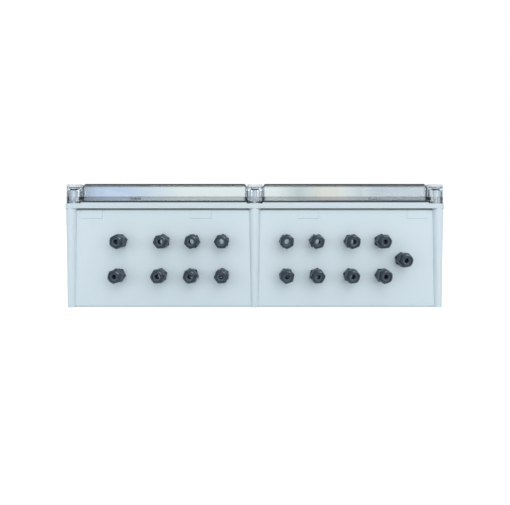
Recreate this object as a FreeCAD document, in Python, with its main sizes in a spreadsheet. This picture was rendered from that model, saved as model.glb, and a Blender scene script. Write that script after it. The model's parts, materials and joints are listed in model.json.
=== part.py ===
import FreeCAD
import Part
import Sketcher
import math
import os
import re

# Solar combiner box: a two-bay plastic enclosure with a clear lid, seventeen cable glands and the string
# fuses, surge arresters and breakers of two bays inside. Millimetres. The origin is the centre of the back
# face, +Z points to the lid, +X along the long side, and the cables enter through the wall at -Y.

os.makedirs("parts", exist_ok=True)
doc = FreeCAD.newDocument("combiner_box")

SIZES = {
    # enclosure base
    "box_length": 564,
    "box_depth": 380,
    "rim_top": 156.2,
    "rim_height": 8.6,
    "rim_width": 10,
    "rim_corner": 6,
    "wall_recess": 6,
    "wall_thick": 4,
    "wall_corner": 8,
    "floor_thick": 4,
    "foot_bevel": 2,
    "groove_height": 2.4,
    "groove_depth": 2,
    "post_inset": 10.5,
    "post_radius": 7.5,
    "rib_radius": 8.5,
    "post_taper": 2,
    "rib_flare": 2.2,
    "landing_drop": 1.5,
    "insert_radius": 4.2,
    "insert_length": 12,
    "screw_pocket_depth": 30,
    "pad_length": 31,
    "pad_height": 15,
    "pad_proud": 0.5,
    "pad_outer_place": 243,
    "pad_inner_place": 80,
    "fixing_margin_x": 32,
    "fixing_margin_y": 30,
    "fixing_radius": 3.25,
    "fixing_boss_radius": 8,
    "fixing_boss_height": 4,
    # lid, gasket and lid screws
    "lid_inset": 1.5,
    "lid_flange": 5.5,
    "lid_height": 25,
    "gasket_height": 3,
    "gasket_width": 5,
    "gasket_inset": 3,
    "tower_width": 22,
    "tower_corner": 4,
    "tower_clearance": 0.5,
    "gasket_clearance": 1.5,
    "window_wall": 3,
    "window_margin": 3,
    "window_bevel": 4,
    "window_corner": 6,
    "tower_wall": 3.5,
    "tower_cap": 7,
    "tower_drop": 1.2,
    "tower_bevel": 1.5,
    "strip_width": 22,
    "screw_head_radius": 8,
    "screw_head_height": 4,
    "screw_shoulder_radius": 6,
    "screw_shoulder_height": 2.5,
    "screw_shank_radius": 3.6,
    "screw_neck_radius": 2.4,
    "screw_neck_length": 7,
    "screw_thread_radius": 3,
    "screw_slot_width": 2,
    "screw_slot_depth": 1.6,
    "screw_reach": 24,
    "running_gap": 0.08,
    "seat_gap": 0.05,
    # cable glands
    "gland_thread": 8,
    "gland_bore": 6.2,
    "gland_flats": 19,
    "gland_flange": 5,
    "gland_barrel": 18,
    "gland_tail": 12,
    "gland_hole_gap": 0.15,
    "seal_radius": 3.75,
    "seal_start": 8,
    "seal_length": 17,
    "nut_start": 6.5,
    "nut_end": 27,
    "nut_dome": 6,
    "nut_rim": 1,
    "nut_tip_radius": 7.3,
    "nut_mouth_radius": 6,
    "nut_throat": 20,
    "locknut_flats": 21,
    "locknut_height": 5,
    # the cable glands' rows and their places along the wall
    "upper_row": 98.7,
    "lower_row": 48,
    "single_row": 71.6,
    "gland_01_along": -200.5,
    "gland_02_along": -137,
    "gland_03_along": -92,
    "gland_04_along": -48.5,
    "gland_05_along": 46.8,
    "gland_06_along": 91.3,
    "gland_07_along": 143.2,
    "gland_08_along": 188.4,
    "gland_09_along": -203,
    "gland_10_along": -141,
    "gland_11_along": -94,
    "gland_12_along": -48.5,
    "gland_13_along": 47,
    "gland_14_along": 91.8,
    "gland_15_along": 142.3,
    "gland_16_along": 189.5,
    "gland_17_along": 219.3,
    # mounting plate, rails and their screws
    "plate_margin_x": 43,
    "plate_margin_y": 35,
    "plate_thick": 2,
    "plate_corner": 18,
    "boss_height": 8,
    "boss_radius": 5,
    "plate_screw_margin": 18,
    "mount_screw_radius": 2,
    "mount_screw_length": 8,
    "mount_head_radius": 3.5,
    "mount_head_height": 2.4,
    "screw_hole_gap": 0.1,
    "rail_margin": 5,
    "rail_inner_end": 25,
    "rail_place_y": 30,
    "rail_width": 35,
    "rail_channel": 27,
    "rail_height": 7.5,
    "rail_thick": 1,
    "rail_screw_margin": 25,
    # what clips on the rails
    "device_half": 41,
    "device_below": 4,
    "clip_lip": 1.2,
    "clip_gap": 0.2,
    "shoulder_height": 38,
    "shoulder_bevel": 4,
    "holder_pitch": 17.8,
    "holder_width": 17.5,
    "holder_place": 57.8,
    "cheek_top": 50,
    "channel_width": 13,
    "channel_floor": 20,
    "channel_front": 24,
    "channel_back": 25.4,
    "nose_back": 28,
    "pivot_y": 19,
    "pivot_z": 44,
    "pivot_pin_radius": 2,
    "pivot_eye_radius": 4.5,
    "carrier_width": 12.6,
    "carrier_back": 22.6,
    "handle_width": 17,
    "handle_lift": 0.5,
    "handle_back": 26.5,
    "device_top": 60,
    "fuse_radius": 5.15,
    "fuse_length": 38,
    "fuse_front": 17,
    "fuse_height": 31,
    "terminal_width": 8,
    "terminal_low": 14,
    "terminal_high": 24,
    "terminal_deep": 8,
    "driver_hole_radius": 2.8,
    "driver_hole_place": 33,
    "driver_hole_deep": 6,
    "breaker_width": 35.4,
    "breaker_place": 168,
    "breaker_shoulder": 44,
    "nose_half": 22.5,
    "toggle_hub_radius": 7,
    "toggle_height": 54,
    "toggle_width": 20,
    "toggle_thick": 4,
    "toggle_reach": 17,
    "toggle_tilt": 32,
    "toggle_slot_half": 12,
    "toggle_slot_floor": 56,
    "surge_width": 35.4,
    "surge_place": 114,
    "surge_socket_floor": 16,
    "surge_tower": 46,
    "module_width": 17.4,
    "module_pitch": 17.8,
    "module_half": 22.2,
    "module_gap": 0.3,
    "module_top": 60,
    "module_shoulder": 50,
    "module_nose_half": 16,
    # bus bars
    "comb_thick": 1.5,
    "comb_height": 8,
    "comb_gap": 1,
    "comb_prong": 6,
    "comb_margin": 7,
    "bar_length": 110,
    "bar_width": 12,
    "bar_thick": 6,
    "bar_place_x": 95,
    "bar_place_y": 85,
    "bar_post_height": 20,
    "bar_post_radius": 6,
    "bar_post_spread": 45,
    "bar_hole_radius": 2.2,
    "bar_hole_pitch": 15,
    "earth_bar_margin": 24,
    "earth_bar_y": 68,
}

# The glands' rows, and the turn of each gland's nut and body in degrees.
GLAND_ROWS = ["upper_row"] * 8 + ["lower_row"] * 8 + ["single_row"]
GLAND_TURNS = [
    (2, 14), (22, 4), (12, 38), (30, 8), (2, 28), (16, 40),
    (9, 30), (26, 2), (12, 34), (26, 9), (18, 42), (24, 0),
    (12, 36), (27, 10), (20, 44), (8, 30), (20, 50),
]
for number, (nut_turn, body_turn) in enumerate(GLAND_TURNS, 1):
    SIZES[f"gland_{number:02d}_nut_turn"] = nut_turn
    SIZES[f"gland_{number:02d}_body_turn"] = body_turn

sheet = doc.addObject("Spreadsheet::Sheet", "sizes")
for row, (name, value) in enumerate(SIZES.items(), 1):
    sheet.set(f"A{row}", name)
    sheet.set(f"B{row}", str(value))
    sheet.setAlias(f"B{row}", name)
doc.recompute()

# Sizes that follow from the ones above, as expressions.
HALF_X = "(box_length / 2)"
HALF_Y = "(box_depth / 2)"
WALL_X = f"({HALF_X} - wall_recess)"
WALL_Y = f"({HALF_Y} - wall_recess)"
POST_X = f"({HALF_X} - post_inset)"
POST_Y = f"({HALF_Y} - post_inset)"
RIB_X = f"({HALF_X} - rib_radius)"
RIB_Y = f"({HALF_Y} - rib_radius)"
RIM_LOW = "(rim_top - rim_height)"
LANDING = "(rim_top - landing_drop)"
FLANGE_LOW = "(rim_top + gasket_height)"
FLANGE_TOP = f"({FLANGE_LOW} + lid_flange)"
LID_TOP = f"({FLANGE_LOW} + lid_height)"
TOWER_TOP = f"({LID_TOP} - tower_drop)"
LID_X = f"({HALF_X} - lid_inset)"
LID_Y = f"({HALF_Y} - lid_inset)"
PLATE_LOW = "(floor_thick + boss_height)"
PLATE_TOP = f"({PLATE_LOW} + plate_thick)"
RAIL_TOP = f"({PLATE_TOP} + rail_height)"
SCREW_HOLE = "(mount_screw_radius + screw_hole_gap)"
FIXING_X = f"({HALF_X} - fixing_margin_x)"
FIXING_Y = f"({HALF_Y} - fixing_margin_y)"
PLATE_X = f"({HALF_X} - plate_margin_x)"
PLATE_Y = f"({HALF_Y} - plate_margin_y)"
BOSS_X = f"({PLATE_X} - plate_screw_margin)"
BOSS_Y = f"({PLATE_Y} - plate_screw_margin)"
RAIL_LENGTH = f"({PLATE_X} - rail_margin - rail_inner_end)"
RAIL_X = f"(({PLATE_X} - rail_margin + rail_inner_end) / 2)"
RAIL_SCREW = f"({RAIL_LENGTH} / 2 - rail_screw_margin)"
EARTH_BAR_X = f"({PLATE_X} - earth_bar_margin)"
NUT_CORNER = f"(gland_flats / 2 / {math.cos(math.pi / 6)})"

POSTS = [(side_x, side_y) for side_y in (-1, 1) for side_x in (-1, 0, 1)]
BAYS = {"left": -1, "right": 1}


def size(text):
    """The value of an expression of the sheet's sizes."""
    return float(sheet.evalExpression(str(text)))


def scoped(text):
    """The same expression as another object of the document reads it."""
    return re.sub(r"[a-z_][a-z_0-9]*", lambda word: f"sizes.{word[0]}" if word[0] in SIZES else word[0], str(text))


def bind(thing, **expressions):
    """Binds properties to expressions. Two underscores in a name stand for a dot."""
    for name, text in expressions.items():
        thing.setExpression(name.replace("__", "."), scoped(text))


def body_named(label):
    body = doc.addObject("PartDesign::Body", label)
    body.Label = label
    return body


def sketch_on(body, name, role, height="0"):
    """A sketch on one of the body's origin planes, moved along the plane's normal."""
    sketch = body.newObject("Sketcher::SketchObject", name)
    plane = next(feature for feature in body.Origin.OriginFeatures if feature.Role == role)
    sketch.AttachmentSupport = [(plane, "")]
    sketch.MapMode = "FlatFace"
    bind(sketch, AttachmentOffset__Base__z=height)
    return sketch


def hold(sketch, kind, text, *ends):
    """Adds one dimension to a sketch, bound to an expression."""
    index = sketch.addConstraint(Sketcher.Constraint(kind, *ends, size(text)))
    name = f"{kind.lower()}_{index}"
    sketch.renameConstraint(index, name)
    sketch.setExpression(f"Constraints.{name}", scoped(text))


def add_outline(sketch, corners):
    """A closed outline whose corners are pairs of expressions."""
    places = [FreeCAD.Vector(size(x), size(y), 0) for x, y in corners]
    first = sketch.GeometryCount
    for here, there in zip(places, places[1:] + places[:1]):
        sketch.addGeometry(Part.LineSegment(here, there))
    for index, (x, y) in enumerate(corners):
        edge = first + index
        following = first + (index + 1) % len(corners)
        sketch.addConstraint(Sketcher.Constraint("Coincident", edge, 2, following, 1))
        hold(sketch, "DistanceX", x, -1, 1, edge, 1)
        hold(sketch, "DistanceY", y, -1, 1, edge, 1)


def add_box(sketch, low_x, low_y, high_x, high_y):
    add_outline(sketch, [(low_x, low_y), (high_x, low_y), (high_x, high_y), (low_x, high_y)])


def add_circle(sketch, x, y, radius):
    place = FreeCAD.Vector(size(x), size(y), 0)
    index = sketch.addGeometry(Part.Circle(place, FreeCAD.Vector(0, 0, 1), size(radius)))
    hold(sketch, "DistanceX", x, -1, 1, index, 3)
    hold(sketch, "DistanceY", y, -1, 1, index, 3)
    hold(sketch, "Radius", radius, index)


def add_hexagon(sketch, flats):
    """A regular hexagon round the sketch's origin, one corner up, flats apart."""
    turns = [math.radians(30 + 60 * index) for index in range(6)]
    corner = f"({flats}) / 2 / {math.cos(math.pi / 6)}"
    add_outline(sketch, [(f"{corner} * {math.cos(t):.9f}", f"{corner} * {math.sin(t):.9f}") for t in turns])


def add_round_box(sketch, low_x, low_y, high_x, high_y, radius):
    """A rectangle with round corners, drawn as four arcs joined by four tangent lines."""
    spots = [(low_x, low_y, 1, 1), (high_x, low_y, -1, 1), (high_x, high_y, -1, -1), (low_x, high_y, 1, -1)]
    centres = [(f"({x}) + {inward_x} * ({radius})", f"({y}) + {inward_y} * ({radius})")
               for x, y, inward_x, inward_y in spots]
    first = sketch.GeometryCount
    for index, (x, y) in enumerate(centres):
        circle = Part.Circle(FreeCAD.Vector(size(x), size(y), 0), FreeCAD.Vector(0, 0, 1), size(radius))
        start = math.pi + index * math.pi / 2
        sketch.addGeometry(Part.ArcOfCircle(circle, start, start + math.pi / 2))
    arcs = [sketch.Geometry[first + index] for index in range(4)]
    for index in range(4):
        sketch.addGeometry(Part.LineSegment(arcs[index].EndPoint, arcs[(index + 1) % 4].StartPoint))
    for index in range(4):
        line = first + 4 + index
        sketch.addConstraint(Sketcher.Constraint("Tangent", first + index, 2, line, 1))
        sketch.addConstraint(Sketcher.Constraint("Tangent", line, 2, first + (index + 1) % 4, 1))
        hold(sketch, "DistanceX", centres[index][0], -1, 1, first + index, 3)
        hold(sketch, "DistanceY", centres[index][1], -1, 1, first + index, 3)
        hold(sketch, "Radius", radius, first + index)


def pad(body, name, sketch, length, upwards=True, both_ways=False):
    feature = body.newObject("PartDesign::Pad", name)
    feature.Profile = sketch
    feature.Reversed = not upwards
    feature.Midplane = both_ways
    bind(feature, Length=length)
    doc.recompute()
    return feature


def pocket(body, name, sketch, length, upwards=False, both_ways=False):
    feature = body.newObject("PartDesign::Pocket", name)
    feature.Profile = sketch
    feature.Reversed = upwards
    feature.Midplane = both_ways
    bind(feature, Length=length)
    doc.recompute()
    return feature


def turn_round(body, name, sketch, axis):
    feature = body.newObject("PartDesign::Revolution", name)
    feature.Profile = sketch
    feature.ReferenceAxis = (sketch, [axis])
    feature.Angle = 360
    doc.recompute()
    return feature


def bevel(body, name, chosen, width, kind="PartDesign::Chamfer"):
    """Bevels or rounds the edges of the body's tip that chosen picks."""
    tip = body.Tip
    edges = [f"Edge{index}" for index, edge in enumerate(tip.Shape.Edges, 1) if chosen(edge)]
    feature = body.newObject(kind, name)
    feature.Base = (tip, edges)
    bind(feature, **{"Size" if kind.endswith("Chamfer") else "Radius": width})
    doc.recompute()
    return feature


def link_to(master, label, x="0", y="0", z="0", turn=None):
    """A copy of a master piece at its own place, turned about Y where a turn is given."""
    copy = doc.addObject("App::Link", label)
    copy.Label = label
    copy.LinkedObject = master
    copy.LinkTransform = True
    if turn is not None:
        copy.Placement.Rotation = FreeCAD.Rotation(FreeCAD.Vector(0, 1, 0), size(turn))
        copy.setExpression(".Placement.Rotation.Angle", f"{scoped(turn)} * 1 deg")
    for axis, text in (("x", x), ("y", y), ("z", z)):
        copy.setExpression(f".Placement.Base.{axis}", scoped(text))
    return copy


def group_of(label, pieces):
    group = doc.addObject("Part::Compound", label)
    group.Label = label
    group.Links = pieces
    return group


nodes = []


def keep(piece):
    nodes.append(piece)
    return piece


def signed(side, text):
    """An expression times -1, 0 or 1."""
    return f"({side} * ({text}))"


def mirrored(half):
    """An outline's half and its mirror image, for a closed outline."""
    return half + [(signed(-1, across), up) for across, up in reversed(half)]


def box_edges_at(z, tolerance=0.01):
    """Picks the edges that lie wholly in one level."""
    return lambda edge: abs(edge.BoundBox.ZMin - z) < tolerance and abs(edge.BoundBox.ZMax - z) < tolerance


def notched(inset, reach):
    """A ring's outline that follows the rim and steps inward round the six screw towers."""
    out_x = f"({HALF_X} - {inset})"
    out_y = f"({HALF_Y} - {inset})"
    in_x = f"({HALF_X} - {reach})"
    in_y = f"({HALF_Y} - {reach})"
    mid = f"(tower_width / 2 + {reach} - lid_inset - tower_width)"
    quarter = [(mid, in_y), (mid, out_y), (in_x, out_y), (in_x, in_y), (out_x, in_y)]
    return mirrored(quarter + [(x, signed(-1, y)) for x, y in reversed(quarter)])


def tower_span(side_x, side_y, gap, beyond="0"):
    """The low and high corners of a screw tower's outline: the tower ends flush with the lid's outer edge."""
    def across(side, outer):
        if not side:
            return f"(-1 * tower_width / 2 - {gap})", f"(tower_width / 2 + {gap})"
        far, near = f"({outer} + {beyond})", f"({outer} - tower_width - {gap})"
        return (near, far) if side > 0 else (f"(-1 * {far})", f"(-1 * {near})")
    low_x, high_x = across(side_x, LID_X)
    low_y, high_y = across(side_y, LID_Y)
    return low_x, low_y, high_x, high_y


def make_base():
    """The moulded base: walls, floor, six posts, the overhanging rim, screw holes, gland holes and bosses."""
    body = body_named("enclosure_base")
    shell = sketch_on(body, "shell_outline", "XY_Plane")
    add_round_box(shell, f"-{WALL_X}", f"-{WALL_Y}", WALL_X, WALL_Y, "wall_corner")
    pad(body, "shell", shell, f"{RIM_LOW} - groove_height")
    bevel(body, "back_edge", box_edges_at(0), "foot_bevel")
    neck = sketch_on(body, "groove_outline", "XY_Plane", f"{RIM_LOW} - groove_height")
    add_round_box(neck, f"groove_depth - {WALL_X}", f"groove_depth - {WALL_Y}", f"{WALL_X} - groove_depth",
                  f"{WALL_Y} - groove_depth", "wall_corner - groove_depth")
    pad(body, "groove", neck, "groove_height")

    cavity = sketch_on(body, "cavity_outline", "XY_Plane", RIM_LOW)
    add_round_box(cavity, f"-{WALL_X} + wall_thick", f"-{WALL_Y} + wall_thick",
                  f"{WALL_X} - wall_thick", f"{WALL_Y} - wall_thick", "wall_corner - wall_thick")
    pocket(body, "cavity", cavity, f"{RIM_LOW} - floor_thick")

    for name, radius, places in (("posts", "post_radius", (POST_X, POST_Y)), ("ribs", "rib_radius", (RIB_X, RIB_Y))):
        feet = sketch_on(body, f"{name}_feet", "XY_Plane")
        for side_x, side_y in POSTS:
            add_circle(feet, signed(side_x, places[0]), signed(side_y, places[1]), f"{radius} - post_taper")
        posts = pad(body, name, feet, RIM_LOW)
        posts.setExpression("TaperAngle", scoped(f"atan(post_taper / {RIM_LOW})"))
    flares = sketch_on(body, "rib_flares", "XY_Plane", f"{RIM_LOW} - groove_height")
    for side_x, side_y in POSTS:
        add_circle(flares, signed(side_x, RIB_X), signed(side_y, f"({RIB_Y} - rib_flare)"), "rib_radius")
    flare = pad(body, "flares", flares, "groove_height")
    flare.setExpression("TaperAngle", scoped("atan(rib_flare / groove_height)"))

    rim = sketch_on(body, "rim_outline", "XY_Plane", RIM_LOW)
    add_round_box(rim, f"-{HALF_X}", f"-{HALF_Y}", HALF_X, HALF_Y, "rim_corner")
    add_outline(rim, notched("rim_width", "(lid_inset + tower_width + gasket_width + 2 * gasket_clearance)"))
    pad(body, "rim", rim, "rim_height")

    landings = sketch_on(body, "tower_landings", "XY_Plane", "rim_top")
    for side_x, side_y in POSTS:
        add_box(landings, *tower_span(side_x, side_y, "tower_clearance", "lid_inset"))
    pocket(body, "landings", landings, "landing_drop")

    inserts = sketch_on(body, "insert_holes", "XY_Plane", LANDING)
    pockets = sketch_on(body, "screw_pockets", "XY_Plane", LANDING)
    for side_x, side_y in POSTS:
        centre = (signed(side_x, POST_X), signed(side_y, POST_Y))
        add_circle(inserts, *centre, "insert_radius + seat_gap")
        add_circle(pockets, *centre, "screw_thread_radius + 2 * screw_hole_gap")
    pocket(body, "insert_seats", inserts, "insert_length")
    pocket(body, "screw_wells", pockets, "screw_pocket_depth")

    glands = sketch_on(body, "gland_holes", "XZ_Plane", WALL_Y)
    for number in range(1, len(GLAND_ROWS) + 1):
        add_circle(glands, f"gland_{number:02d}_along", GLAND_ROWS[number - 1], "gland_thread + gland_hole_gap")
    pocket(body, "gland_wall", glands, "wall_thick")

    pads = sketch_on(body, "wall_pads", "XZ_Plane", WALL_Y)
    for place in ("pad_outer_place", "pad_inner_place"):
        for side in BAYS.values():
            centre = signed(side, place)
            add_box(pads, f"{centre} - pad_length / 2", f"{RIM_LOW} - pad_height",
                    f"{centre} + pad_length / 2", f"{RIM_LOW} - groove_height")
    pad(body, "wall_pads_proud", pads, "pad_proud")

    bosses = sketch_on(body, "plate_bosses", "XY_Plane", "floor_thick")
    fixings = sketch_on(body, "fixing_bosses", "XY_Plane", "floor_thick")
    boss_holes = sketch_on(body, "boss_holes", "XY_Plane", PLATE_LOW)
    fixing_holes = sketch_on(body, "fixing_holes", "XY_Plane")
    for side_x, side_y in POSTS:
        add_circle(bosses, signed(side_x, BOSS_X), signed(side_y, BOSS_Y), "boss_radius")
        add_circle(boss_holes, signed(side_x, BOSS_X), signed(side_y, BOSS_Y), SCREW_HOLE)
        if side_x:
            add_circle(fixings, signed(side_x, FIXING_X), signed(side_y, FIXING_Y), "fixing_boss_radius")
            add_circle(fixing_holes, signed(side_x, FIXING_X), signed(side_y, FIXING_Y), "fixing_radius")
    pad(body, "bosses", bosses, "boss_height")
    pad(body, "wall_fixings", fixings, "fixing_boss_height")
    pocket(body, "boss_threads", boss_holes, "mount_screw_length - plate_thick + 1")
    pocket(body, "wall_fixing_holes", fixing_holes, "floor_thick + fixing_boss_height", upwards=True)
    return keep(body)


def make_lid():
    """The clear lid: flange, two raised windows hollow from below, and six screw towers."""
    body = body_named("lid")
    flange = sketch_on(body, "flange_outline", "XY_Plane", FLANGE_LOW)
    add_round_box(flange, f"-{LID_X}", f"-{LID_Y}", LID_X, LID_Y, "tower_corner")
    pad(body, "flange", flange, "lid_flange")

    windows = sketch_on(body, "window_outlines", "XY_Plane", FLANGE_TOP)
    hollows = sketch_on(body, "window_hollows", "XY_Plane", FLANGE_LOW)
    for side in BAYS.values():
        near, far = "(strip_width / 2)", f"({LID_X} - strip_width)"
        low, high = (f"-{far}", f"-{near}") if side < 0 else (near, far)
        deep = f"({LID_Y} - window_margin)"
        add_round_box(windows, low, f"-{deep}", high, deep, "window_corner")
        add_round_box(hollows, f"{low} + window_wall", f"-{deep} + window_wall",
                      f"{high} - window_wall", f"{deep} - window_wall", "window_corner - window_wall")
    pad(body, "windows", windows, "lid_height - lid_flange")
    bevel(body, "window_edges", box_edges_at(size(LID_TOP)), "window_bevel")
    pocket(body, "window_spaces", hollows, "lid_height - window_wall", upwards=True)

    towers = sketch_on(body, "tower_outlines", "XY_Plane", LANDING)
    spaces = sketch_on(body, "tower_spaces", "XY_Plane", LANDING)
    for side_x, side_y in POSTS:
        low_x, low_y, high_x, high_y = tower_span(side_x, side_y, "0")
        add_round_box(towers, low_x, low_y, high_x, high_y, "tower_corner")
        add_round_box(spaces, f"{low_x} + tower_wall", f"{low_y} + tower_wall", f"{high_x} - tower_wall",
                      f"{high_y} - tower_wall", "tower_corner / 2")
    pad(body, "towers", towers, f"{TOWER_TOP} - {LANDING}")
    pocket(body, "tower_hollows", spaces, f"{TOWER_TOP} - {LANDING} - tower_cap", upwards=True)
    bevel(body, "tower_inner_edges", box_edges_at(size(f"{TOWER_TOP} - tower_cap")), "tower_bevel")

    seats = sketch_on(body, "head_seats", "XY_Plane", TOWER_TOP)
    shoulders_at = f"({TOWER_TOP} - screw_head_height)"
    steps = sketch_on(body, "shoulder_seats", "XY_Plane", shoulders_at)
    bores = sketch_on(body, "shank_bores", "XY_Plane", TOWER_TOP)
    for side_x, side_y in POSTS:
        centre = (signed(side_x, POST_X), signed(side_y, POST_Y))
        add_circle(seats, *centre, "screw_head_radius + 2 * screw_hole_gap")
        add_circle(steps, *centre, "screw_shoulder_radius + screw_hole_gap")
        add_circle(bores, *centre, "screw_shank_radius + running_gap")
    pocket(body, "screw_seats", seats, "screw_head_height")
    pocket(body, "shoulder_steps", steps, "screw_shoulder_height")
    pocket(body, "screw_bores", bores, f"{TOWER_TOP} - {LANDING}")
    return keep(body)


def make_gasket():
    """The foam gasket, which runs along the rim and inside the screw towers."""
    body = body_named("lid_gasket")
    ring = sketch_on(body, "gasket_outline", "XY_Plane", "rim_top")
    around = "(lid_inset + tower_width + gasket_clearance)"
    add_outline(ring, notched("gasket_inset", around))
    add_outline(ring, notched("(gasket_inset + gasket_width)", f"({around} + gasket_width)"))
    pad(body, "gasket", ring, "gasket_height")
    return keep(body)


def make_lid_screws():
    """Six slotted lid screws, each with a shank in the lid's tower and a thread in the base's post."""
    master = body_named("lid_screw_pattern")
    profile = sketch_on(master, "screw_profile", "XZ_Plane")
    add_outline(profile, [
        ("0", f"{LANDING} - screw_reach"),
        ("screw_thread_radius", f"{LANDING} - screw_reach"),
        ("screw_thread_radius", f"{LANDING} - 1"),
        ("screw_neck_radius", f"{LANDING} - 1"),
        ("screw_neck_radius", f"{LANDING} + screw_neck_length - 2"),
        ("screw_shank_radius", f"{LANDING} + screw_neck_length"),
        ("screw_shank_radius", f"{TOWER_TOP} - screw_head_height - screw_shoulder_height"),
        ("screw_shoulder_radius", f"{TOWER_TOP} - screw_head_height - screw_shoulder_height"),
        ("screw_shoulder_radius", f"{TOWER_TOP} - screw_head_height"),
        ("screw_head_radius", f"{TOWER_TOP} - screw_head_height"),
        ("screw_head_radius", TOWER_TOP),
        ("0", TOWER_TOP),
    ])
    turn_round(master, "screw", profile, "V_Axis")
    slot = sketch_on(master, "slot_outline", "XY_Plane", TOWER_TOP)
    add_box(slot, "-1 * screw_head_radius - 1", "-1 * screw_slot_width / 2", "screw_head_radius + 1",
            "screw_slot_width / 2")
    pocket(master, "slot", slot, "screw_slot_depth")
    for number, (side_x, side_y) in enumerate(POSTS, 1):
        keep(link_to(master, f"lid_screw_{number}", signed(side_x, POST_X), signed(side_y, POST_Y)))


def make_inserts():
    """Brass thread inserts, one in the top of each post."""
    master = body_named("insert_pattern")
    ring = sketch_on(master, "insert_ring", "XY_Plane", LANDING)
    add_circle(ring, "0", "0", "insert_radius")
    add_circle(ring, "0", "0", "screw_thread_radius + running_gap")
    pad(master, "insert", ring, "insert_length", upwards=False)
    copies = [link_to(master, f"insert_{number}", signed(side_x, POST_X), signed(side_y, POST_Y))
              for number, (side_x, side_y) in enumerate(POSTS, 1)]
    keep(group_of("thread_inserts", copies))


def gland_copies(master, name, turn=None):
    """One copy of a gland's piece at each place on the gland wall."""
    copies = []
    for number in range(1, len(GLAND_ROWS) + 1):
        spot = f"gland_{number:02d}"
        copies.append(link_to(master, f"{name}_{number:02d}", f"{spot}_along", f"-1 * {WALL_Y}",
                              GLAND_ROWS[number - 1], turn and f"{spot}_{turn}"))
    return copies


def make_glands():
    """Seventeen cable glands. Each is drawn with the wall's outer face at y = 0 and points to -Y."""
    shank = body_named("gland_body_pattern")
    barrel = sketch_on(shank, "barrel_ring", "XZ_Plane", "-1 * gland_tail")
    add_circle(barrel, "0", "0", "gland_thread")
    add_circle(barrel, "0", "0", "gland_bore")
    pad(shank, "barrel", barrel, "gland_tail + gland_barrel")
    collar = sketch_on(shank, "collar_hexagon", "XZ_Plane")
    add_hexagon(collar, "gland_flats")
    add_circle(collar, "0", "0", "gland_bore")
    pad(shank, "collar", collar, "gland_flange")
    keep(group_of("gland_bodies", gland_copies(shank, "gland_body", "body_turn")))

    seal = body_named("gland_seal_pattern")
    sleeve = sketch_on(seal, "seal_ring", "XZ_Plane", "seal_start")
    add_circle(sleeve, "0", "0", "gland_bore - seat_gap")
    add_circle(sleeve, "0", "0", "seal_radius")
    pad(seal, "sleeve", sleeve, "seal_length")
    keep(group_of("gland_seals", gland_copies(seal, "gland_seal")))

    locknut = body_named("gland_locknut_pattern")
    plate = sketch_on(locknut, "locknut_hexagon", "XZ_Plane", "-1 * wall_thick")
    add_hexagon(plate, "locknut_flats")
    add_circle(plate, "0", "0", "gland_thread + seat_gap")
    pad(locknut, "locknut", plate, "locknut_height", upwards=False)
    keep(group_of("gland_locknuts", gland_copies(locknut, "gland_locknut", "nut_turn")))

    nut = body_named("gland_nut_pattern")
    profile = sketch_on(nut, "nut_profile", "YZ_Plane")
    add_outline(profile, [
        ("-1 * nut_start", "gland_thread + running_gap"),
        ("-1 * nut_start", NUT_CORNER),
        ("-1 * nut_end + nut_dome", NUT_CORNER),
        ("-1 * nut_end + nut_rim", "nut_tip_radius + nut_rim"),
        ("-1 * nut_end", "nut_tip_radius"),
        ("-1 * nut_end", "nut_mouth_radius"),
        ("-1 * nut_throat", "gland_thread + running_gap"),
    ])
    turn_round(nut, "nut", profile, "H_Axis")
    flats = sketch_on(nut, "nut_flats", "XZ_Plane")
    add_hexagon(flats, "gland_flats")
    add_circle(flats, "0", "0", "gland_flats")
    pocket(nut, "flats", flats, "nut_end", upwards=True)
    for copy in gland_copies(nut, "gland_nut", "nut_turn"):
        keep(copy)


def make_plate():
    """The steel mounting plate, with bevelled corners and holes for its own screws and the rails' screws."""
    body = body_named("mounting_plate")
    outline = sketch_on(body, "plate_outline", "XY_Plane", PLATE_LOW)
    cut_x = f"({PLATE_X} - plate_corner)"
    cut_y = f"({PLATE_Y} - plate_corner)"
    right = [(cut_x, signed(-1, PLATE_Y)), (PLATE_X, signed(-1, cut_y)), (PLATE_X, cut_y), (cut_x, PLATE_Y)]
    add_outline(outline, mirrored(right))
    for side_x, side_y in POSTS:
        add_circle(outline, signed(side_x, BOSS_X), signed(side_y, BOSS_Y), SCREW_HOLE)
    for place in rail_screw_places():
        add_circle(outline, *place, SCREW_HOLE)
    pad(body, "plate", outline, "plate_thick")
    keep(body)


def rail_screw_places():
    return [(f"({signed(side, RAIL_X)} + {signed(end, RAIL_SCREW)})", "rail_place_y")
            for side in BAYS.values() for end in (-1, 1)]


def make_rails():
    """Two top-hat rails, one in each bay."""
    master = body_named("rail_pattern")
    profile = sketch_on(master, "rail_profile", "YZ_Plane")
    edge, web = "(rail_width / 2)", "(rail_channel / 2)"
    half = [
        (web, "0"),
        (web, "rail_height - rail_thick"),
        (edge, "rail_height - rail_thick"),
        (edge, "rail_height"),
        (f"{web} - rail_thick", "rail_height"),
        (f"{web} - rail_thick", "rail_thick"),
    ]
    add_outline(profile, mirrored(half))
    pad(master, "rail", profile, RAIL_LENGTH, both_ways=True)
    holes = sketch_on(master, "rail_holes", "XY_Plane")
    for end in (-1, 1):
        add_circle(holes, signed(end, RAIL_SCREW), "0", SCREW_HOLE)
    pocket(master, "rail_screw_holes", holes, "rail_thick", upwards=True)
    copies = [link_to(master, f"rail_{bay}", signed(side, RAIL_X), "rail_place_y", PLATE_TOP)
              for bay, side in BAYS.items()]
    keep(group_of("din_rails", copies))


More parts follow.
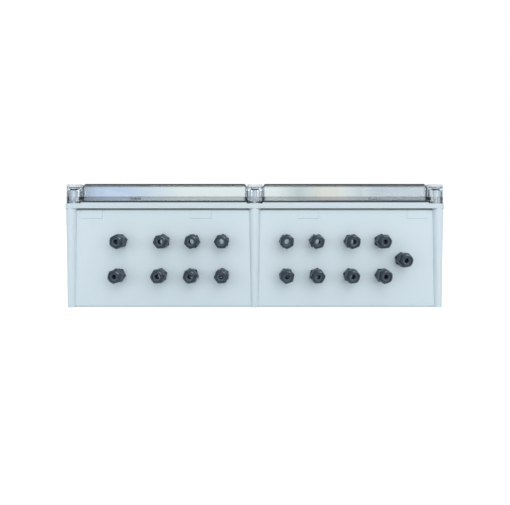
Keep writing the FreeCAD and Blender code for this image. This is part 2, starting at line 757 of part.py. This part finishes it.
def make_mounting_screws():
    """Pan head screws that hold the plate on its bosses and the rails on the plate."""
    master = body_named("mounting_screw_pattern")
    profile = sketch_on(master, "mounting_screw_profile", "XZ_Plane")
    add_outline(profile, [
        ("0", "-1 * mount_screw_length"),
        ("mount_screw_radius", "-1 * mount_screw_length"),
        ("mount_screw_radius", "0"),
        ("mount_head_radius", "0"),
        ("mount_head_radius - 1", "mount_head_height"),
        ("0", "mount_head_height"),
    ])
    turn_round(master, "mounting_screw", profile, "V_Axis")
    spots = [(signed(side_x, BOSS_X), signed(side_y, BOSS_Y), PLATE_TOP) for side_x, side_y in POSTS]
    spots += [(*place, f"{PLATE_TOP} + rail_thick") for place in rail_screw_places()]
    copies = [link_to(master, f"mounting_screw_{number}", *spot) for number, spot in enumerate(spots, 1)]
    keep(group_of("mounting_screws", copies))


def clip_foot():
    """The underside of whatever clips on a rail, from -Y to +Y: its lips reach under the rail's flanges."""
    edge = "(rail_width / 2 + clip_gap)"
    lip = "(rail_width / 2 - clip_lip)"
    under = "(0 - rail_thick - clip_gap)"
    half = [
        (edge, "0"),
        (edge, under),
        (lip, under),
        (lip, "-1 * device_below"),
        ("device_half", "-1 * device_below"),
    ]
    return [(signed(-1, y), z) for y, z in reversed(half)] + half


def shoulders(height):
    """The top of a device's ends, from +Y to -Y."""
    half = [("device_half", f"({height} - shoulder_bevel)"), ("(device_half - shoulder_bevel)", height)]
    return mirrored(half)


def add_terminals(body, height, spots):
    """Wire openings at both ends of a device and screwdriver holes in its shoulders."""
    wires = sketch_on(body, "wire_openings", "XZ_Plane")
    for x in spots:
        add_box(wires, f"{x} - terminal_width / 2", "terminal_low", f"{x} + terminal_width / 2", "terminal_high")
    for name, side in (("front", 1), ("back", -1)):
        ends = body.newObject("Sketcher::SketchObject", f"{name}_wires")
        ends.AttachmentSupport = wires.AttachmentSupport
        ends.MapMode = "FlatFace"
        bind(ends, AttachmentOffset__Base__z=f"{side} * device_half")
        for x in spots:
            add_box(ends, f"{x} - terminal_width / 2", "terminal_low", f"{x} + terminal_width / 2", "terminal_high")
        pocket(body, f"{name}_openings", ends, "terminal_deep", upwards=side < 0)
    doc.removeObject(wires.Name)
    drivers = sketch_on(body, "driver_holes", "XY_Plane", height)
    for x in spots:
        for side in (-1, 1):
            add_circle(drivers, x, f"{side} * driver_hole_place", "driver_hole_radius")
    pocket(body, "driver_wells", drivers, "driver_hole_deep")


def holder_places(side):
    return [f"({side} * (holder_place + {step} * holder_pitch))" for step in (-1, 0, 1)]


def make_fuse_holders():
    """Six fuse holders: a case clipped on the rail, a carrier that swings out on two pins, and a fuse link."""
    case = body_named("fuse_case_pattern")
    profile = sketch_on(case, "case_profile", "YZ_Plane")
    add_outline(profile, clip_foot() + shoulders("shoulder_height"))
    pad(case, "case", profile, "holder_width", both_ways=True)
    cheeks = sketch_on(case, "cheek_profile", "YZ_Plane")
    add_box(cheeks, "-1 * pivot_y", "shoulder_height - 1", "nose_back", "cheek_top")
    pad(case, "cheeks", cheeks, "holder_width", both_ways=True)
    ears = sketch_on(case, "ear_profile", "YZ_Plane")
    add_circle(ears, "-1 * pivot_y", "pivot_z", "cheek_top - pivot_z")
    pad(case, "ears", ears, "holder_width", both_ways=True)
    channel = sketch_on(case, "channel_profile", "YZ_Plane")
    add_outline(channel, [
        ("-1 * channel_front", "channel_floor"),
        ("channel_back", "channel_floor"),
        ("channel_back", "cheek_top + 1"),
        ("-1 * pivot_y - cheek_top + pivot_z - 1", "cheek_top + 1"),
        ("-1 * pivot_y - cheek_top + pivot_z - 1", "shoulder_height"),
        ("-1 * channel_front", "shoulder_height"),
    ])
    pocket(case, "channel", channel, "channel_width", both_ways=True)
    pins = sketch_on(case, "pin_hole", "YZ_Plane")
    add_circle(pins, "-1 * pivot_y", "pivot_z", "pivot_pin_radius + running_gap")
    pocket(case, "pin_holes", pins, "2 * holder_width", both_ways=True)
    add_terminals(case, "shoulder_height", ["0"])

    carrier = body_named("fuse_carrier_pattern")
    blade = sketch_on(carrier, "blade_profile", "YZ_Plane")
    handle_low = "(cheek_top + handle_lift)"
    add_outline(blade, [
        ("-1 * pivot_y - pivot_eye_radius", "pivot_z"),
        ("-1 * pivot_y - pivot_eye_radius / 3", "fuse_height"),
        ("carrier_back", "fuse_height"),
        ("carrier_back", handle_low),
        ("-1 * pivot_y + pivot_eye_radius", handle_low),
        ("-1 * pivot_y", "pivot_z + pivot_eye_radius"),
    ])
    pad(carrier, "blade", blade, "carrier_width", both_ways=True)
    eye = sketch_on(carrier, "eye_profile", "YZ_Plane")
    add_circle(eye, "-1 * pivot_y", "pivot_z", "pivot_eye_radius")
    pad(carrier, "eye", eye, "carrier_width", both_ways=True)
    pin = sketch_on(carrier, "pin_profile", "YZ_Plane")
    add_circle(pin, "-1 * pivot_y", "pivot_z", "pivot_pin_radius")
    pad(carrier, "pins", pin, "handle_width", both_ways=True)
    handle = sketch_on(carrier, "handle_profile", "YZ_Plane")
    front = "(0 - pivot_y + pivot_eye_radius)"
    add_outline(handle, [
        (front, handle_low),
        ("handle_back", handle_low),
        ("handle_back", "device_top - 3"),
        ("handle_back - 4", "device_top"),
        (f"{front} + 5", "device_top"),
        (front, "device_top - 4"),
    ])
    pad(carrier, "handle", handle, "handle_width", both_ways=True)
    trough = sketch_on(carrier, "trough_profile", "YZ_Plane")
    add_box(trough, "-1 * fuse_front - clip_gap", "fuse_height - 1", "fuse_length - fuse_front + clip_gap",
            "fuse_height + fuse_radius + clip_gap")
    pocket(carrier, "trough", trough, "2 * fuse_radius + 2 * seat_gap", both_ways=True)

    link = body_named("fuse_link_pattern")
    tube = sketch_on(link, "fuse_circle", "XZ_Plane", "fuse_front")
    add_circle(tube, "0", "fuse_height", "fuse_radius")
    pad(link, "fuse", tube, "fuse_length", upwards=False)

    places = holder_places(BAYS["left"]) + holder_places(BAYS["right"])
    spots = [(x, "rail_place_y", RAIL_TOP) for x in places]
    cases = [link_to(case, f"fuse_case_{number}", *spot) for number, spot in enumerate(spots, 1)]
    keep(group_of("fuse_cases", cases))
    for number, spot in enumerate(spots, 1):
        keep(link_to(carrier, f"fuse_carrier_{number}", *spot))
        keep(link_to(link, f"fuse_link_{number}", *spot))


def make_breakers():
    """Two double-pole breakers, each with one bridged toggle that tips in a round socket."""
    case = body_named("breaker_case_pattern")
    profile = sketch_on(case, "breaker_profile", "YZ_Plane")
    ends = shoulders("breaker_shoulder")
    nose = [("nose_half", "breaker_shoulder"), ("nose_half", "device_top"),
            ("-1 * nose_half", "device_top"), ("-1 * nose_half", "breaker_shoulder")]
    add_outline(profile, clip_foot() + ends[:2] + nose + ends[2:])
    pad(case, "breaker", profile, "breaker_width", both_ways=True)
    socket = sketch_on(case, "hub_socket", "YZ_Plane")
    add_circle(socket, "0", "toggle_height", "toggle_hub_radius + running_gap")
    pocket(case, "socket", socket, "toggle_width + 2 * clip_gap", both_ways=True)
    slot = sketch_on(case, "toggle_slot", "YZ_Plane")
    add_box(slot, "-1 * toggle_slot_half", "toggle_slot_floor", "toggle_slot_half", "device_top + 1")
    pocket(case, "slot", slot, "toggle_width + 2 * clip_gap", both_ways=True)
    add_terminals(case, "breaker_shoulder", ["-1 * breaker_width / 4", "breaker_width / 4"])
    places = {bay: (signed(side, "breaker_place"), "rail_place_y", RAIL_TOP) for bay, side in BAYS.items()}
    keep(group_of("breaker_cases", [link_to(case, f"breaker_case_{bay}", *spot) for bay, spot in places.items()]))

    toggle = body_named("breaker_toggle_pattern")
    hub = sketch_on(toggle, "hub_circle", "YZ_Plane")
    add_circle(hub, "0", "toggle_height", "toggle_hub_radius")
    pad(toggle, "hub", hub, "toggle_width", both_ways=True)
    lever = sketch_on(toggle, "lever_profile", "YZ_Plane")
    along = "sin(toggle_tilt * 1 deg)"
    up = "cos(toggle_tilt * 1 deg)"
    root, tip, thick = "2", "toggle_reach", "toggle_thick / 2"
    add_outline(lever, [
        (f"0 - {root} * {along} - {thick} * {up}", f"toggle_height + {root} * {up} - {thick} * {along}"),
        (f"0 - {root} * {along} + {thick} * {up}", f"toggle_height + {root} * {up} + {thick} * {along}"),
        (f"0 - {tip} * {along} + {thick} * {up}", f"toggle_height + {tip} * {up} + {thick} * {along}"),
        (f"0 - {tip} * {along} - {thick} * {up}", f"toggle_height + {tip} * {up} - {thick} * {along}"),
    ])
    pad(toggle, "lever", lever, "toggle_width", both_ways=True)
    for bay, spot in places.items():
        keep(link_to(toggle, f"breaker_toggle_{bay}", *spot))


def make_surge_arresters():
    """Two surge arresters: a socket that stays on the rail and two modules that pull out of it."""
    socket = body_named("surge_socket_pattern")
    profile = sketch_on(socket, "socket_profile", "YZ_Plane")
    ends = shoulders("surge_tower")
    inner = "(module_half + module_gap)"
    well = [(inner, "surge_tower"), (inner, "surge_socket_floor"),
            (f"-1 * {inner}", "surge_socket_floor"), (f"-1 * {inner}", "surge_tower")]
    add_outline(profile, clip_foot() + ends[:2] + well + ends[2:])
    pad(socket, "socket", profile, "surge_width", both_ways=True)
    add_terminals(socket, "surge_tower", ["-1 * module_pitch / 2", "module_pitch / 2"])
    places = {bay: (signed(side, "surge_place"), "rail_place_y", RAIL_TOP) for bay, side in BAYS.items()}
    keep(group_of("surge_sockets", [link_to(socket, f"surge_socket_{bay}", *spot) for bay, spot in places.items()]))

    module = body_named("surge_module_pattern")
    face = sketch_on(module, "module_profile", "YZ_Plane")
    half = [("module_half", "surge_socket_floor + module_gap"), ("module_half", "module_shoulder"),
            ("module_nose_half", "module_top")]
    add_outline(face, mirrored(half))
    pad(module, "module", face, "module_width", both_ways=True)
    for bay, (x, y, z) in places.items():
        for number, side in enumerate((-1, 1), 1):
            keep(link_to(module, f"surge_module_{bay}_{number}", f"{x} + {side} * module_pitch / 2", y, z))


def make_bus_bars():
    """Copper combs behind the fuse cases, brass collecting bars and an earth bar on insulating posts."""
    comb = body_named("bus_comb_pattern")
    spine = sketch_on(comb, "spine_profile", "XZ_Plane", "-1 * device_half - comb_gap")
    add_box(spine, "-1 * holder_pitch - comb_margin", "terminal_low",
            "holder_pitch + comb_margin", "terminal_low + comb_height")
    pad(comb, "spine", spine, "comb_thick", upwards=False)
    prongs = sketch_on(comb, "prong_profile", "XZ_Plane", "-1 * device_half - comb_gap")
    for step in (-1, 0, 1):
        add_box(prongs, f"{step} * holder_pitch - comb_prong / 2", "terminal_low",
                f"{step} * holder_pitch + comb_prong / 2", "terminal_low + comb_thick")
    pad(comb, "prongs", prongs, "comb_gap + terminal_deep - clip_gap")
    combs = [link_to(comb, f"bus_comb_{bay}", signed(side, "holder_place"), "rail_place_y", RAIL_TOP)
             for bay, side in BAYS.items()]
    keep(group_of("bus_combs", combs))

    bar_low = f"({PLATE_TOP} + bar_post_height)"
    bar = body_named("bar_pattern")
    strip = sketch_on(bar, "bar_outline", "XY_Plane")
    add_box(strip, "-1 * bar_length / 2", "-1 * bar_width / 2", "bar_length / 2", "bar_width / 2")
    for step in (-2, -1, 0, 1, 2):
        add_circle(strip, f"{step} * bar_hole_pitch", "0", "bar_hole_radius")
    pad(bar, "bar", strip, "bar_thick")
    bars = [link_to(bar, f"negative_bar_{bay}", signed(side, "bar_place_x"), "-1 * bar_place_y", bar_low)
            for bay, side in BAYS.items()]
    keep(group_of("negative_bars", bars))

    earth = body_named("earth_bar")
    strip = sketch_on(earth, "earth_bar_outline", "XY_Plane", bar_low)
    add_box(strip, f"{EARTH_BAR_X} - bar_width / 2", "-1 * earth_bar_y - bar_length / 2",
            f"{EARTH_BAR_X} + bar_width / 2", "bar_length / 2 - earth_bar_y")
    for step in (-2, -1, 0, 1, 2):
        add_circle(strip, EARTH_BAR_X, f"{step} * bar_hole_pitch - earth_bar_y", "bar_hole_radius")
    pad(earth, "earth_strip", strip, "bar_thick")
    keep(earth)

    post = body_named("bar_post_pattern")
    disc = sketch_on(post, "post_circle", "XY_Plane", PLATE_TOP)
    add_circle(disc, "0", "0", "bar_post_radius")
    pad(post, "post", disc, "bar_post_height")
    spots = [(f"{signed(side, 'bar_place_x')} + {end} * bar_post_spread", "-1 * bar_place_y")
             for side in BAYS.values() for end in (-1, 1)]
    spots += [(EARTH_BAR_X, f"{end} * bar_post_spread - earth_bar_y") for end in (-1, 1)]
    keep(group_of("bar_posts", [link_to(post, f"bar_post_{number}", *spot)
                                for number, spot in enumerate(spots, 1)]))


make_base()
make_lid()
make_gasket()
make_lid_screws()
make_inserts()
make_glands()
make_plate()
make_rails()
make_mounting_screws()
make_fuse_holders()
make_breakers()
make_surge_arresters()
make_bus_bars()
doc.recompute()

for thing in doc.Objects:
    if {"Invalid", "Error"} & set(thing.State):
        raise RuntimeError(f"{thing.Name} failed: {thing.State}")
for node in nodes:
    shape = Part.getShape(node)
    if shape.isNull() or not shape.isValid() or not shape.Solids:
        raise RuntimeError(f"{node.Label} has no valid shape")
for node in nodes:
    shape = Part.getShape(node)
    shape.exportStep(f"parts/{node.Label}.step")
    print(node.Label, len(shape.Solids), round(shape.Volume))
print(len(nodes), "nodes")
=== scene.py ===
import bpy
import json
import math
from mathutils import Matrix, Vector


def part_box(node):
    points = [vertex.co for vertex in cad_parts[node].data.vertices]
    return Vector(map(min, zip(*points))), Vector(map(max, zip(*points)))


# The looks of the solar combiner box, in metres: finishes, floor, world, lamps and camera.

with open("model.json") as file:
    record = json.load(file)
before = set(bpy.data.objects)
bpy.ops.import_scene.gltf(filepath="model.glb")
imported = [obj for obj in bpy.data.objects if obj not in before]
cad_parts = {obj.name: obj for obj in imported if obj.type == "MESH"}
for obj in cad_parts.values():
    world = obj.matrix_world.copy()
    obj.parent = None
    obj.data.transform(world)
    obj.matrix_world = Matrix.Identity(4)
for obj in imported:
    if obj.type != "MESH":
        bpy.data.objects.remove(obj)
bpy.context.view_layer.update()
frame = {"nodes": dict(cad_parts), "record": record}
scene = bpy.context.scene
scene.view_settings.view_transform = "Standard"

# Places on the box that the finishes and their painted shade follow, and the width over which one of them
# passes into the next.
RIM_TOP, FLANGE_LOW = (corner.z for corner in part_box("lid_gasket"))
RIM_LOW = RIM_TOP - 0.0086
GROOVE_LOW = RIM_LOW - 0.0024
FLANGE_TOP = FLANGE_LOW + 0.0055
LID_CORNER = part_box("lid")[1]
BEVEL_FOOT = LID_CORNER.z - 0.0039
FROST_START = LID_CORNER.z - 0.0057
TOWER_WIDTH = 0.022
TOWER_INNER_X = LID_CORNER.x - TOWER_WIDTH
TOWER_INNER_Y = LID_CORNER.y - TOWER_WIDTH
BLEND = 0.0002
WHITE = (1, 1, 1, 1)


def srgb(red, green, blue):
    """A colour given as 0 to 255 on screen, in linear light."""
    levels = [level / 255 for level in (red, green, blue)]
    return tuple(((c + 0.055) / 1.055) ** 2.4 if c > 0.0404 else c / 12.92 for c in levels) + (1,)


def toned(colour, share, lift=0.0):
    """The colour scaled to a share of itself and lifted evenly."""
    return tuple(min(1, c * share + lift) for c in colour[:3]) + (1,)


class Finish:
    """A material's or the world's node tree."""

    def __init__(self, name, tree=None):
        if tree is None:
            self.material = bpy.data.materials.new(name)
            self.material.use_nodes = True
            tree = self.material.node_tree
        self.tree = tree
        self.tree.nodes.clear()

    def add(self, kind, inputs=None, **settings):
        """A shader node with its settings, and with its inputs set or linked."""
        node = self.tree.nodes.new("ShaderNode" + kind)
        for name, value in settings.items():
            setattr(node, name, value)
        for socket, value in (inputs or {}).items():
            self.set(node.inputs[socket], value)
        return node

    def set(self, socket, value):
        if isinstance(value, bpy.types.NodeSocket):
            self.tree.links.new(value, socket)
        else:
            socket.default_value = value

    def math(self, operation, a, b):
        return self.add("Math", {0: a, 1: b}, operation=operation).outputs[0]

    def times(self, a, b):
        return self.math("MULTIPLY", a, b)

    def most(self, a, b):
        return self.math("MAXIMUM", a, b)

    def away(self, value, centre=0.0):
        """How far a value is from a centre, on either side."""
        return self.math("ABSOLUTE", self.math("SUBTRACT", value, centre), 0.0)

    def ramp(self, value, low, high, to_low=0.0, to_high=1.0):
        span = {"Value": value, "From Min": low, "From Max": high, "To Min": to_low, "To Max": to_high}
        return self.add("MapRange", span).outputs["Result"]

    def between(self, amount, a, b):
        """The number a where the amount is 0, and b where it is 1."""
        return self.ramp(amount, 0.0, 1.0, a, b)

    def mix(self, amount, a, b):
        """The colour a where the amount is 0, and b where it is 1."""
        return self.add("Mix", {0: amount, 6: a, 7: b}, data_type="RGBA").outputs[2]

    def mix_shaders(self, amount, a, b):
        return self.add("MixShader", {0: amount, 1: a, 2: b}).outputs[0]

    def place(self):
        return self.add("TexCoord").outputs["Object"]

    def axes(self, vector=None):
        return self.add("SeparateXYZ", {"Vector": vector or self.place()}).outputs

    def noise(self, scale, detail=4.0, roughness=0.5, place=None):
        inputs = {"Vector": place or self.place(), "Scale": scale, "Detail": detail, "Roughness": roughness}
        return self.add("TexNoise", inputs).outputs["Fac"]

    def bump(self, height, depth, normal):
        inputs = {"Height": height, "Strength": 1.0, "Distance": depth, "Normal": normal}
        return self.add("Bump", inputs).outputs["Normal"]

    def soft_edges(self, radius):
        return self.add("Bevel", {"Radius": radius}, samples=4).outputs["Normal"]

    def painted_hollow_shade(self, reach, painted_shade_level):
        """Painted shade: a factor that falls to the given level inside narrow grooves and corners, where
        ambient occlusion finds them hollow.
        """
        open_sky = self.add("AmbientOcclusion", {"Distance": reach}, samples=8).outputs["AO"]
        return self.ramp(open_sky, 0.35, 0.9, painted_shade_level, 1.0)

    def scaled(self, colour, factor):
        start = colour[:3] if isinstance(colour, tuple) else colour
        return self.add("VectorMath", {0: start, "Scale": factor}, operation="SCALE").outputs[0]

    def surface(self, shader, volume=None):
        output = self.add("OutputMaterial", {"Surface": shader})
        if volume is not None:
            self.set(output.inputs["Volume"], volume)
        return self.material


def rim_shading(f, painted_shade_level):
    """Painted shade in the groove under the base's rim, where ambient occlusion finds it hollow, and on the
    rim. The feet of the posts get none.
    """
    z = f.axes()[2]
    below = f.ramp(z, GROOVE_LOW - 0.0012, GROOVE_LOW, 1.0, 0.0)
    # Painted shade: the rim is made a little darker.
    rim = f.ramp(z, RIM_LOW - BLEND, RIM_LOW + BLEND, 1.0, 0.94)
    return f.times(f.most(f.painted_hollow_shade(0.006, painted_shade_level), below), rim)


def plastic(name, colour, rough=0.45, tint=None, mottle=0.25, grain=1400.0, depth=0.00002, edge=0.0006,
            specular=0.5, scuff=0.0, painted_shade_level=None):
    """Moulded plastic: a slow drift of colour, a fine moulded grain and softened edges."""
    f = Finish(name)
    drift = f.ramp(f.noise(9.0, 3.0), 0.3, 0.7)
    base = f.mix(f.times(drift, mottle), colour, tint or toned(colour, 0.9))
    if scuff:
        marks = f.ramp(f.noise(260.0, 6.0, 0.7), 0.62, 0.75)
        base = f.mix(f.times(marks, scuff), base, toned(colour, 1.5, 0.03))
    # Painted shade in the groove under the rim and on the rim, when a shade level is given.
    if painted_shade_level is not None:
        base = f.scaled(base, rim_shading(f, painted_shade_level))
    roughness = f.ramp(f.noise(40.0, 5.0), 0.3, 0.7, rough - 0.06, rough + 0.06)
    moulded = f.bump(f.noise(grain, 3.0), depth, f.soft_edges(edge))
    shader = f.add("BsdfPrincipled", {"Base Color": base, "Roughness": roughness, "IOR": 1.5,
                                      "Normal": moulded, "Specular IOR Level": specular})
    return f.surface(shader.outputs[0])


def metal(name, colour, rough=0.3, along=(1.0, 1.0, 1.0), streak=220.0, depth=0.00001, edge=0.0003):
    """Plated or bare metal with fine streaks along one direction and duller patches."""
    f = Finish(name)
    stretched = f.add("Mapping", {"Vector": f.place(), "Scale": along}).outputs[0]
    streaks = f.noise(streak, 5.0, 0.6, stretched)
    patches = f.ramp(f.noise(30.0, 4.0), 0.35, 0.7, 0.0, 0.5)
    base = f.mix(patches, colour, toned(colour, 0.78))
    roughness = f.ramp(streaks, 0.3, 0.7, rough - 0.08, rough + 0.12)
    brushed = f.bump(streaks, depth, f.soft_edges(edge))
    shader = f.add("BsdfPrincipled", {"Base Color": base, "Metallic": 1.0, "Roughness": roughness,
                                      "Normal": brushed})
    return f.surface(shader.outputs[0])


def tower_masks(f, x, y):
    """1 in the six screw towers, and 1 along the strip between the two windows."""
    middle = f.ramp(f.away(x), TOWER_WIDTH / 2 + BLEND, TOWER_WIDTH / 2)
    ends = f.ramp(f.away(x), TOWER_INNER_X - BLEND, TOWER_INNER_X)
    edges = f.ramp(f.away(y), TOWER_INNER_Y - 0.001, TOWER_INNER_Y)
    return f.times(edges, f.most(middle, ends)), middle


def painted_glass_shade(f, z, towers, middle):
    """Painted shade on the lid's tint, as a factor: less at the flange's edge and at the foot of the
    windows' bevel.
    """
    geometry = f.add("NewGeometry").outputs
    leaving, facing = geometry["Backfacing"], geometry["Normal"]
    # Painted shade: the flange's edge is darkened to between a quarter and a third.
    flange = f.ramp(z, FLANGE_LOW - BLEND, FLANGE_TOP - 0.0001, 0.24, 0.34)
    above = f.ramp(z, FLANGE_TOP - 0.0005, FLANGE_TOP + 0.0003)
    # Light that leaves the glass isn't darkened again.
    flange = f.most(f.most(f.most(flange, above), leaving), f.times(towers, 0.8))
    # Painted shade at the foot of the bevel, on the upright front and back walls only.
    front_or_back = f.ramp(f.away(f.axes(facing)[1]), 0.4, 0.6)
    bevel = f.ramp(f.away(z, BEVEL_FOOT), 0.0008, 0.0016, 0.6, 1.0)
    bevel = f.most(f.between(front_or_back, 1.0, bevel), towers)
    # Painted shade: the towers at the ends are a little darker than those in the middle.
    end_tower_shade = f.between(towers, 1.0, f.between(middle, 0.96, 1.0))
    return f.times(flange, f.times(bevel, end_tower_shade))


def clear(name):
    """Clear polycarbonate. Shadow rays pass straight through it, so that what lies inside is lit."""
    f = Finish(name)
    haze = f.ramp(f.noise(6.0, 2.0), 0.3, 0.7, 0.02, 0.05)
    wave = f.bump(f.noise(7.0, 1.0), 0.00012, f.soft_edges(0.0012))
    x, y, z = f.axes()
    towers, middle = tower_masks(f, x, y)
    # The lid's tint, with the painted shade laid on it.
    tint_with_painted_shade = f.scaled(srgb(250, 252, 253), painted_glass_shade(f, z, towers, middle))
    glass = f.add("BsdfPrincipled", {"Base Color": tint_with_painted_shade, "Roughness": haze, "IOR": 1.5,
                                     "Transmission Weight": 1.0, "Normal": wave})
    # The tops of the screw towers are moulded with a frosted skin.
    frost = f.times(f.times(towers, f.ramp(z, FROST_START, FROST_START + 0.0015)), 0.6)
    skin = f.add("BsdfPrincipled", {"Base Color": srgb(234, 240, 244), "Roughness": 0.5, "Normal": wave})
    body = f.mix_shaders(frost, glass.outputs[0], skin.outputs[0])
    # The first wall bends what is seen through it, and the walls behind it let it pass as it is.
    path = f.add("LightPath").outputs
    second_wall = f.math("GREATER_THAN", path["Transmission Depth"], 1.5)
    beyond = f.times(second_wall, f.math("SUBTRACT", 1.0, towers))
    plain = f.most(path["Is Shadow Ray"], beyond)
    passing = f.add("BsdfTransparent", {"Color": srgb(252, 253, 253)})
    depth = f.add("VolumeAbsorption", {"Color": srgb(150, 176, 196), "Density": 3.0})
    return f.surface(f.mix_shaders(plain, body, passing.outputs[0]), depth.outputs[0])


def make_finishes():
    """One finish for each material slot of the record."""
    return {
        # The enclosure gets painted shade in the groove under its rim and on the rim.
        "enclosure": plastic("enclosure", srgb(206, 219, 226), 0.5, tint=srgb(205, 220, 221), mottle=0.5,
                             edge=0.0008, painted_shade_level=0.35),
        "clear_lid": clear("clear_lid"),
        "gasket": plastic("gasket", srgb(66, 78, 86), 0.8, depth=0.00006, grain=900.0, edge=0.0003),
        "lid_screw": plastic("lid_screw", srgb(214, 222, 228), 0.35, edge=0.0005),
        "brass": metal("brass", srgb(214, 178, 104), 0.28),
        "black_nylon": plastic("black_nylon", srgb(34, 50, 62), 0.42, tint=srgb(42, 57, 71), mottle=0.6,
                               grain=900.0, edge=0.0007, specular=0.3, scuff=0.08),
        "seal_rubber": plastic("seal_rubber", srgb(84, 98, 108), 0.85, edge=0.0003, specular=0.2),
        "plated_steel": metal("plated_steel", srgb(196, 200, 204), 0.36, along=(0.08, 1.0, 1.0),
                              depth=0.000002),
        "device_case": plastic("device_case", srgb(208, 209, 206), 0.5, edge=0.0005),
        "carrier": plastic("carrier", srgb(150, 155, 158), 0.45, edge=0.0005),
        "fuse": plastic("fuse", srgb(236, 232, 222), 0.2, edge=0.0004),
        "toggle": plastic("toggle", srgb(36, 38, 42), 0.3, edge=0.0005),
        "surge_module": plastic("surge_module", srgb(86, 94, 100), 0.45, edge=0.0005),
        "bus_metal": metal("bus_metal", srgb(205, 130, 92), 0.3),
        "tinned_bar": metal("tinned_bar", srgb(120, 126, 130), 0.45, along=(0.1, 1.0, 1.0)),
        "insulator": plastic("insulator", srgb(48, 52, 56), 0.4, edge=0.0005),
    }


def make_floor():
    """The floor: white to the camera, with the object's soft shadow kept. The lid doesn't show it."""
    mesh = bpy.data.meshes.new("floor")
    mesh.from_pydata([(-6, -4, 0), (6, -4, 0), (6, 14, 0), (-6, 14, 0)], [], [(0, 1, 2, 3)])
    floor = bpy.data.objects.new("floor", mesh)
    scene.collection.objects.link(floor)
    f = Finish("floor")
    shade = f.add("BsdfDiffuse", {"Color": (0.72, 0.73, 0.74, 1)}).outputs[0]
    glow = f.add("Emission", {"Color": WHITE, "Strength": 0.62}).outputs[0]
    lifted = f.add("AddShader", {0: shade, 1: glow}).outputs[0]
    unseen = f.add("BsdfTransparent").outputs[0]
    path = f.add("LightPath").outputs
    direct = f.most(path["Is Camera Ray"], path["Is Glossy Ray"])
    shown = f.mix_shaders(direct, shade, lifted)
    mesh.materials.append(f.surface(f.mix_shaders(path["Is Transmission Ray"], shown, unseen)))


def far_side(w, x):
    """What shows through the lid, by its direction from left to right.

    It is a pale wall that turns bluer to the left, a grey column right of the middle with a warm screen
    beside it, and a dim corner at each end of the room.
    """
    bluer = w.ramp(x, -0.27, -0.15, 1.0, 0.0)
    screen = w.ramp(w.away(x, 0.15), 0.02, 0.05, 1.0, 0.0)
    column = w.ramp(w.away(x, 0.095), 0.0, 0.05, 1.0, 0.0)
    left_corner = w.ramp(x, -0.345, -0.30, 1.0, 0.0)
    right_corner = w.ramp(x, 0.18, 0.25, 0.0, 0.6)
    colour = w.mix(bluer, srgb(243, 249, 247), srgb(203, 220, 242))
    colour = w.mix(screen, colour, srgb(240, 236, 228))
    colour = w.mix(column, colour, srgb(206, 217, 216))
    return w.mix(w.most(left_corner, right_corner), colour, srgb(145, 161, 181))


def make_world():
    """White to the camera, the far side to what passes through the lid, and a soft room to all else."""
    world = bpy.data.worlds.new("studio")
    scene.world = world
    world.use_nodes = True
    w = Finish("studio", world.node_tree)
    x, y, z = w.axes(w.add("TexCoord").outputs["Generated"])
    room = w.mix(w.ramp(z, -0.2, 0.9), srgb(214, 222, 228), srgb(250, 250, 252))
    soft = w.add("Background", {"Color": room, "Strength": 0.75}).outputs[0]
    through = w.add("Background", {"Color": far_side(w, x), "Strength": 1.0}).outputs[0]
    white = w.add("Background", {"Color": WHITE, "Strength": 1.0}).outputs[0]
    path = w.add("LightPath").outputs
    inside = w.mix_shaders(path["Is Transmission Ray"], soft, through)
    w.add("OutputWorld", {"Surface": w.mix_shaders(path["Is Camera Ray"], inside, white)})


def lamp(name, place, target, size, power, colour=(1, 1, 1), glint=False, mirrored=True):
    """An area lamp. A glint shows only in reflections, and a lamp that isn't mirrored shows in none."""
    data = bpy.data.lights.new(name, "AREA")
    data.shape = "RECTANGLE"
    data.size, data.size_y = size
    data.energy = power
    data.color = colour
    thing = bpy.data.objects.new(name, data)
    scene.collection.objects.link(thing)
    thing.location = place
    thing.rotation_euler = (Vector(target) - Vector(place)).to_track_quat("-Z", "Y").to_euler()
    thing.visible_diffuse = not glint
    thing.visible_transmission = not glint
    thing.visible_glossy = mirrored
    return thing


def make_lamps():
    """Soft light from the front and from behind, and a glint for the glands alone."""
    lamp("key", (0.5, -2.4, 1.5), (0, -0.1, 0.1), (2.2, 1.6), 21)
    lamp("fill", (-1.6, -2.0, 0.5), (0, -0.1, 0.05), (1.6, 0.8), 8, (0.92, 0.96, 1.0), mirrored=False)
    lamp("low_fill", (1.4, -2.2, 0.35), (0.1, -0.1, 0.03), (1.6, 0.6), 8, mirrored=False)
    lamp("back", (-0.6, 2.4, 1.3), (0, 0.1, 0.1), (2.2, 1.6), 14, mirrored=False)
    # Only for the bright lines on the glands' upward edges.
    glint = lamp("glint", (0.7, -0.8, 1.4), (0, -0.19, 0.08), (1.5, 1.0), 80, glint=True)
    shiny = bpy.data.collections.new("shiny")
    for name, thing in frame["nodes"].items():
        if slot_of[name] in ("black_nylon", "seal_rubber"):
            shiny.objects.link(thing)
    glint.light_linking.receiver_collection = shiny


def make_camera():
    """The camera stands level with the wall's upper part and looks straight at it."""
    camera = bpy.data.cameras.new("camera")
    camera.sensor_fit = "HORIZONTAL"
    camera.sensor_width = 36
    camera.lens = 33.12
    camera.shift_x = 0.001
    camera.shift_y = -0.0618
    camera.clip_start = 0.01
    viewer = bpy.data.objects.new("camera", camera)
    scene.collection.objects.link(viewer)
    viewer.location = (-0.0004, -0.885, 0.1287)
    viewer.rotation_euler = (math.pi / 2, 0, 0)
    scene.camera = viewer


finishes = make_finishes()
slot_of = {entry["node"]: entry["material_slot"] for entry in frame["record"]["subparts"]}
for name, thing in frame["nodes"].items():
    thing.data.materials.clear()
    thing.data.materials.append(finishes[slot_of[name]])
make_floor()
make_world()
make_lamps()
make_camera()
